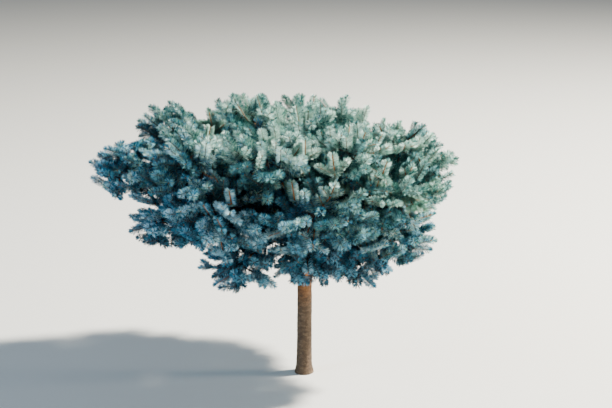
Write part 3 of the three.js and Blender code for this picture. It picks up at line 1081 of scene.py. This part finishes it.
TIP_FROM = 0.95
CLOSING_FROM = 0.92
CLOSING_PART = 0.08
OLDER_CLOSING = 0.2
TIP_SHORTER = 0.24
GOLDEN_SHARE = 0.6180339887
NEEDLE_STEPS = (-1, 0, 1, 2)
NEEDLE_STEP_ODDS = (0.38, 0.28, 0.2, 0.14)
# Painted light: lit and shaded copies of the needle wax. Four paler, greener ones are for the sunny side and
# four bluer, darker ones for the shade. Then come the darkest colour and a sage green.
SUNLIT_PAINTED_COLOURS = ("c2dfd4", "8fbdb3", "609997", "356c72")
SHADED_PAINTED_COLOURS = ("a6d2e2", "6aaec8", "4086a4", "265d78")
NEEDLE_COLOURS = (*SUNLIT_PAINTED_COLOURS, *SHADED_PAINTED_COLOURS, "0e303c", "7ea592")
SUNLIT_PAINTED, SHADED_PAINTED, OLD_AND_SHADED, SAGE = 0, 4, 8, 9
# Paler odds at the top of the crown are painted top light, and darker odds low down are painted shade.
PAINTED_TOP_LIGHT_ODDS = ((0.52, 0.36, 0.09, 0.03), (0.16, 0.36, 0.32, 0.16))
SUNLIT_PAINTED_ODDS = ((0.1, 0.34, 0.34, 0.22), (0.02, 0.12, 0.36, 0.5))
SHADED_PAINTED_ODDS = ((0.22, 0.4, 0.28, 0.1), (0.02, 0.12, 0.36, 0.5))
PAINTED_LOW_SHADE_ODDS = ((0.05, 0.28, 0.4, 0.27), (0.0, 0.06, 0.3, 0.64))
PAINTED_TOP_LIGHT_ABOVE = 715
PAINTED_LOW_SHADE_BELOW = 470
OLD_SHARE = 0.6
SAGE_SHARE = 0.05
SAGE_NEEDLES = 0.55
SUN_FROM = np.array([0.36, 0.1, 1.05])
SUN_RANGE = (-0.12, 0.55)
SUN_SPREAD = 0.4
SUN_DRAW = 7.3
IN_SUN = 0.5
BELOW_ONE = 0.9999
needle_finishes = [
    plain_finish(f"needle_wax_{i + 1}", colour, 0.55, sheen=0.1) for i, colour in enumerate(NEEDLE_COLOURS)
]


def painted_light_of(shoot):
    """How deep the blue of one shoot is, and the share of its needles that take the paler lit colours:
    painted sunlight, set by where the shoot stands.
    """
    # Old inner shoots take the darkest colours, partly the dull colour of old needles and partly painted
    # shade deep in the crown.
    if shoot.age == 2:
        return (OLD_AND_SHADED if shoot.draw < OLD_SHARE else OLD_AND_SHADED - 1) - SHADED_PAINTED, 0.0
    # Painted light: the further a shoot stands towards the sun, on the right and above, the more of its
    # needles take lit colours.
    from_middle = (shoot.end - UP * GROWTH_FROM) / REACH["front"]
    low, high = SUN_RANGE
    spread = ((shoot.draw * SUN_DRAW) % 1 - 0.5) * SUN_SPREAD
    sunny = (from_middle @ SUN_FROM - low) / (high - low) + spread
    # A few shoots on the sunny side take a sage green, which is painted warm sunlight.
    if shoot.draw < SAGE_SHARE and sunny > IN_SUN:
        return SAGE - SHADED_PAINTED, 0.0
    # High shoots take paler colours and low shoots darker ones: painted light and shade.
    if sunny > IN_SUN:
        odds = (PAINTED_TOP_LIGHT_ODDS if shoot.end[2] > PAINTED_TOP_LIGHT_ABOVE else SUNLIT_PAINTED_ODDS)[shoot.age]
    else:
        odds = (PAINTED_LOW_SHADE_ODDS if shoot.end[2] < PAINTED_LOW_SHADE_BELOW else SHADED_PAINTED_ODDS)[shoot.age]
    depth = np.searchsorted(np.cumsum(odds), shoot.draw * sum(odds) * BELOW_ONE)
    return int(depth), min(1.0, max(0.0, sunny))


def needle_shades(chosen, owner):
    """The finish of each needle: near the tone of its shoot, in a painted lit colour where the sun would
    catch it, and otherwise in a painted shaded one.
    """
    depths, sunlit_share = np.array([painted_light_of(shoot) for shoot in chosen]).T
    depth = depths[owner].astype(int)
    steps = rng.choice(NEEDLE_STEPS, len(owner), p=NEEDLE_STEP_ODDS)
    mixed = np.clip(depth + steps, 0, OLD_AND_SHADED - SHADED_PAINTED)
    # Each needle takes a painted lit colour by its shoot's share of sunlight, and otherwise a painted shaded
    # one.
    in_sun = rng.random(len(owner)) < sunlit_share[owner]
    shade = np.where(in_sun, SUNLIT_PAINTED + np.minimum(mixed, SHADED_PAINTED - SUNLIT_PAINTED - 1), SHADED_PAINTED + mixed)
    on_sage_shoot = depth == SAGE - SHADED_PAINTED
    sage = on_sage_shoot & (rng.random(len(owner)) < SAGE_NEEDLES)
    return np.where(sage, SAGE, np.where(on_sage_shoot, SUNLIT_PAINTED + 1, shade))


def needles_on(chosen):
    """Corners, faces and shade of every needle on some shoots."""
    starts = np.array([shoot.start for shoot in chosen])
    ends = np.array([shoot.end for shoot in chosen])
    ages = np.array([shoot.age for shoot in chosen])
    spans = np.linalg.norm(ends - starts, axis=1)
    counts = np.maximum(FEWEST_NEEDLES, (spans * np.array(NEEDLES_PER_MM)[ages]).astype(int))
    total = counts.sum()
    owner = np.repeat(np.arange(len(chosen)), counts)
    rank = np.arange(total) - np.repeat(np.cumsum(counts) - counts, counts)
    place = (rank + rng.uniform(*NEEDLE_PLACES, total)) / counts[owner]
    place = np.interp(place, (0, 1 - TIP_SHARE, 1), (0, TIP_FROM, 1))
    axis = ((ends - starts) / spans[:, None])[owner]
    upper = np.array([shoot.upper for shoot in chosen])[owner]
    side = np.cross(axis, upper)
    shown = np.array([shoot.draw < SHOWN_TWIGS for shoot in chosen])[owner]
    turn = ((rank * GOLDEN_SHARE) % 1) * 2 - 1
    parted = np.sign(turn) * (PARTING + np.abs(turn) * (SHOWN_SPAN - PARTING))
    turn = np.where(shown, parted, turn * NEEDLE_SPAN) + rng.normal(0, TURN_SPREAD, total)
    out = upper * np.cos(turn)[:, None] + side * np.sin(turn)[:, None]
    young_closing = np.clip((place - CLOSING_FROM) / CLOSING_PART, 0, 1)
    closing = np.where(ages[owner] == 0, young_closing, OLDER_CLOSING * place)
    lean = np.radians(NEEDLE_LEAN - TIP_LEAN * closing + rng.normal(0, LEAN_SPREAD, total))
    way = axis * np.cos(lean)[:, None] + out * np.sin(lean)[:, None]
    way = units(way + upper * (UPWARD * (1 - np.cos(turn)))[:, None])
    length = np.array(NEEDLE_LENGTH)[ages[owner]] * rng.uniform(*LENGTHS, total)
    length *= 1 - TIP_SHORTER * closing
    shade = needle_shades(chosen, owner)
    across = units(np.cross(way, out))
    bow = np.cross(across, way)
    root = starts[owner] + axis * (place * spans[owner])[:, None]
    middle = root + way * (NEEDLE_MIDDLE * length)[:, None] + bow * NEEDLE_BOW
    width = across * (NEEDLE_WIDTH / 2)
    corners = np.stack([root, root + way * length[:, None], middle + width, middle - width], axis=1)
    faces = np.arange(total)[:, None, None] * 4 + NEEDLE_FACES[None]
    return corners.reshape(-1, 3), faces.reshape(-1, 3), np.repeat(shade, len(NEEDLE_FACES))


SHARES = {"crest": 2, "shoulder": 2, "belt": 3, "skirt": 3}
for tier, parts in SHARES.items():
    for part, numbers in enumerate(np.array_split(np.arange(len(tier_masses[tier])), parts)):
        carried = [tier_masses[tier][i] for i in numbers]
        chosen = [shoot for shoot in shoots if shoot.mass in carried]
        corners, faces, shade = needles_on(chosen)
        sprays = joined(f"{tier}_sprays_{part + 1}", corners, faces, needle_finishes, shade)
        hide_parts(*[mass.node for mass in carried])
        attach(sprays, "root")


# Buds. A shoot ends in a small blunt bud with papery orange-brown scales.
BUD_LENGTH = 5.5
BUD_WAIST = 0.4
BUD_RADIUS = 2.1
BUD_SIDES = 5
tipped = [shoot for shoot in shoots if shoot.age < 2]
places = np.array([shoot.end for shoot in tipped])
ways = np.array([unit(shoot.end - shoot.start) for shoot in tipped])
waist = (places + ways * BUD_LENGTH * BUD_WAIST)[:, None, :] + circles(ways, BUD_SIDES) * BUD_RADIUS
corners = np.concatenate([places[:, None, :], waist, (places + ways * BUD_LENGTH)[:, None, :]], axis=1)
pattern = []
for j in range(BUD_SIDES):
    k = (j + 1) % BUD_SIDES
    pattern += [(0, k + 1, j + 1), (BUD_SIDES + 1, j + 1, k + 1)]
faces = (np.arange(len(tipped))[:, None, None] * (BUD_SIDES + 2) + np.array(pattern)[None]).reshape(-1, 3)
bud_scales = [plain_finish("bud_scales", "8d7150", 0.6)]
buds = joined("buds", corners.reshape(-1, 3), faces, bud_scales, np.zeros(len(faces)))
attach(buds, "root")


# Floor and light. A plain pale floor, a strong warm lamp high on the right and a little behind, a weak one
# low on the right that edges the trunk and the skirt, and a wide cool one on the left that fills the shade.
FLOOR_SIZE = 80
SKY_COLOUR = (0.62, 0.79, 1.0, 1.0)
SKY_STRENGTH = 0.17
bpy.ops.mesh.primitive_plane_add(size=FLOOR_SIZE)
floor = bpy.context.object
floor.name = "floor"
floor_finish = Finish("floor_paper")
floor_finish.surface(Base_Color=paint("dcdcd8"), Roughness=0.9)
floor.data.materials.append(floor_finish.material)


def soft_lamp(name, place, target, size, power, colour):
    bpy.ops.object.light_add(type="AREA", location=place)
    lamp = bpy.context.object
    lamp.name = name
    lamp.data.shape = "DISK"
    lamp.data.size = size
    lamp.data.energy = power
    lamp.data.color = colour
    towards = Vector(target) - Vector(place)
    lamp.rotation_euler = towards.to_track_quat("-Z", "Y").to_euler()


soft_lamp(
    "key_lamp", place=(5.2, 1.3, 6.2), target=(0, 0, 0.55), size=0.8, power=3300, colour=(1.0, 0.94, 0.82)
)
soft_lamp(
    "edge_lamp", place=(2.6, 0.15, 0.5), target=(0, 0, 0.22), size=0.5, power=60, colour=(1.0, 0.93, 0.84)
)
soft_lamp(
    "fill_lamp", place=(-5.2, -2.4, 3.2), target=(0, 0, 0.5), size=2.6, power=250, colour=(0.64, 0.82, 1.0)
)
world = bpy.data.worlds.new("studio")
bpy.context.scene.world = world
world.use_nodes = True
world.node_tree.nodes["Background"].inputs["Color"].default_value = SKY_COLOUR
world.node_tree.nodes["Background"].inputs["Strength"].default_value = SKY_STRENGTH
